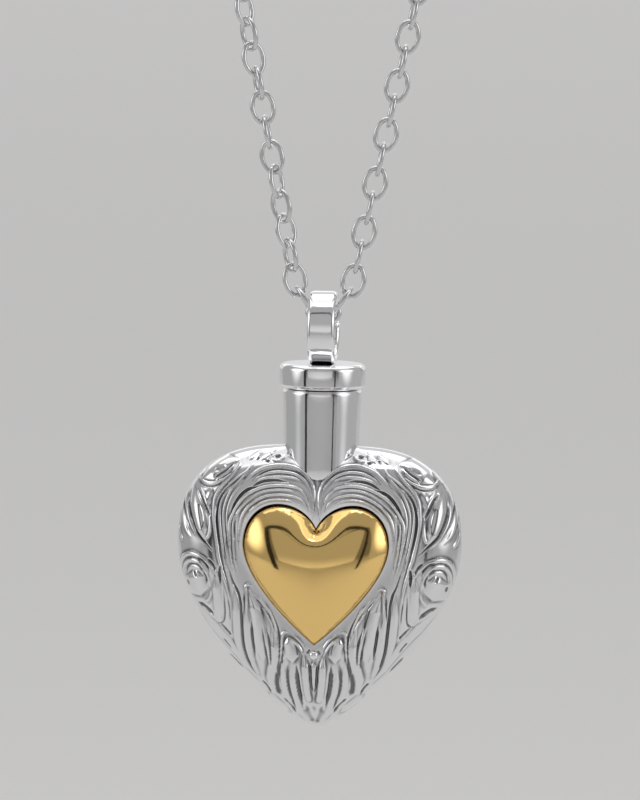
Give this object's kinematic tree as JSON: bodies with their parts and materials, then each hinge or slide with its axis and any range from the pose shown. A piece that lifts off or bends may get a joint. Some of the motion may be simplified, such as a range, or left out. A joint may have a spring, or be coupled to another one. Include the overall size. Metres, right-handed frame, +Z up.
{
  "type": "keepsake urn pendant",
  "caption": "Heart-shaped keepsake urn pendant with scroll and feather relief, a domed gold heart, a screw cap with a bail, and a fine cable chain.",
  "frame": {"origin": "where the crown of the chain loop lies on its holder, at the inner side of the loop", "axes": "+Z up, the necklace hanging straight down in the XZ plane; the ornament faces -Y; +X to the right of a viewer who faces the ornament"},
  "size_m": [0.0717, 0.0066, 0.2287],
  "materials": {
    "cast_silver": "bright polished rhodium-plated silver, cast relief",
    "yellow_gold": "high polish 14 karat yellow gold",
    "turned_silver": "high polish rhodium-plated silver, turned",
    "chain_silver": "polished silver wire",
    "clasp_silver": "polished silver"
  },
  "bodies": {
    "necklace": {"chain_front": "chain_silver", "chain_back": "chain_silver", "clasp": "clasp_silver"},
    "cap": {"cap_bail": "turned_silver"},
    "urn": {"heart_urn": "cast_silver", "gold_heart": "yellow_gold"}
  },
  "joints": [
    {"name": "pendant_swing", "type": "hinge", "parent": "necklace", "child": "cap", "pos_m": [0, 0, -0.20327], "axis": [1, 0, 0], "range_deg": [-80, 80]},
    {"name": "urn_unscrew", "type": "slide", "parent": "cap", "child": "urn", "axis": [0, 0, -1], "range_m": [0, 0.0027]}
  ]
}
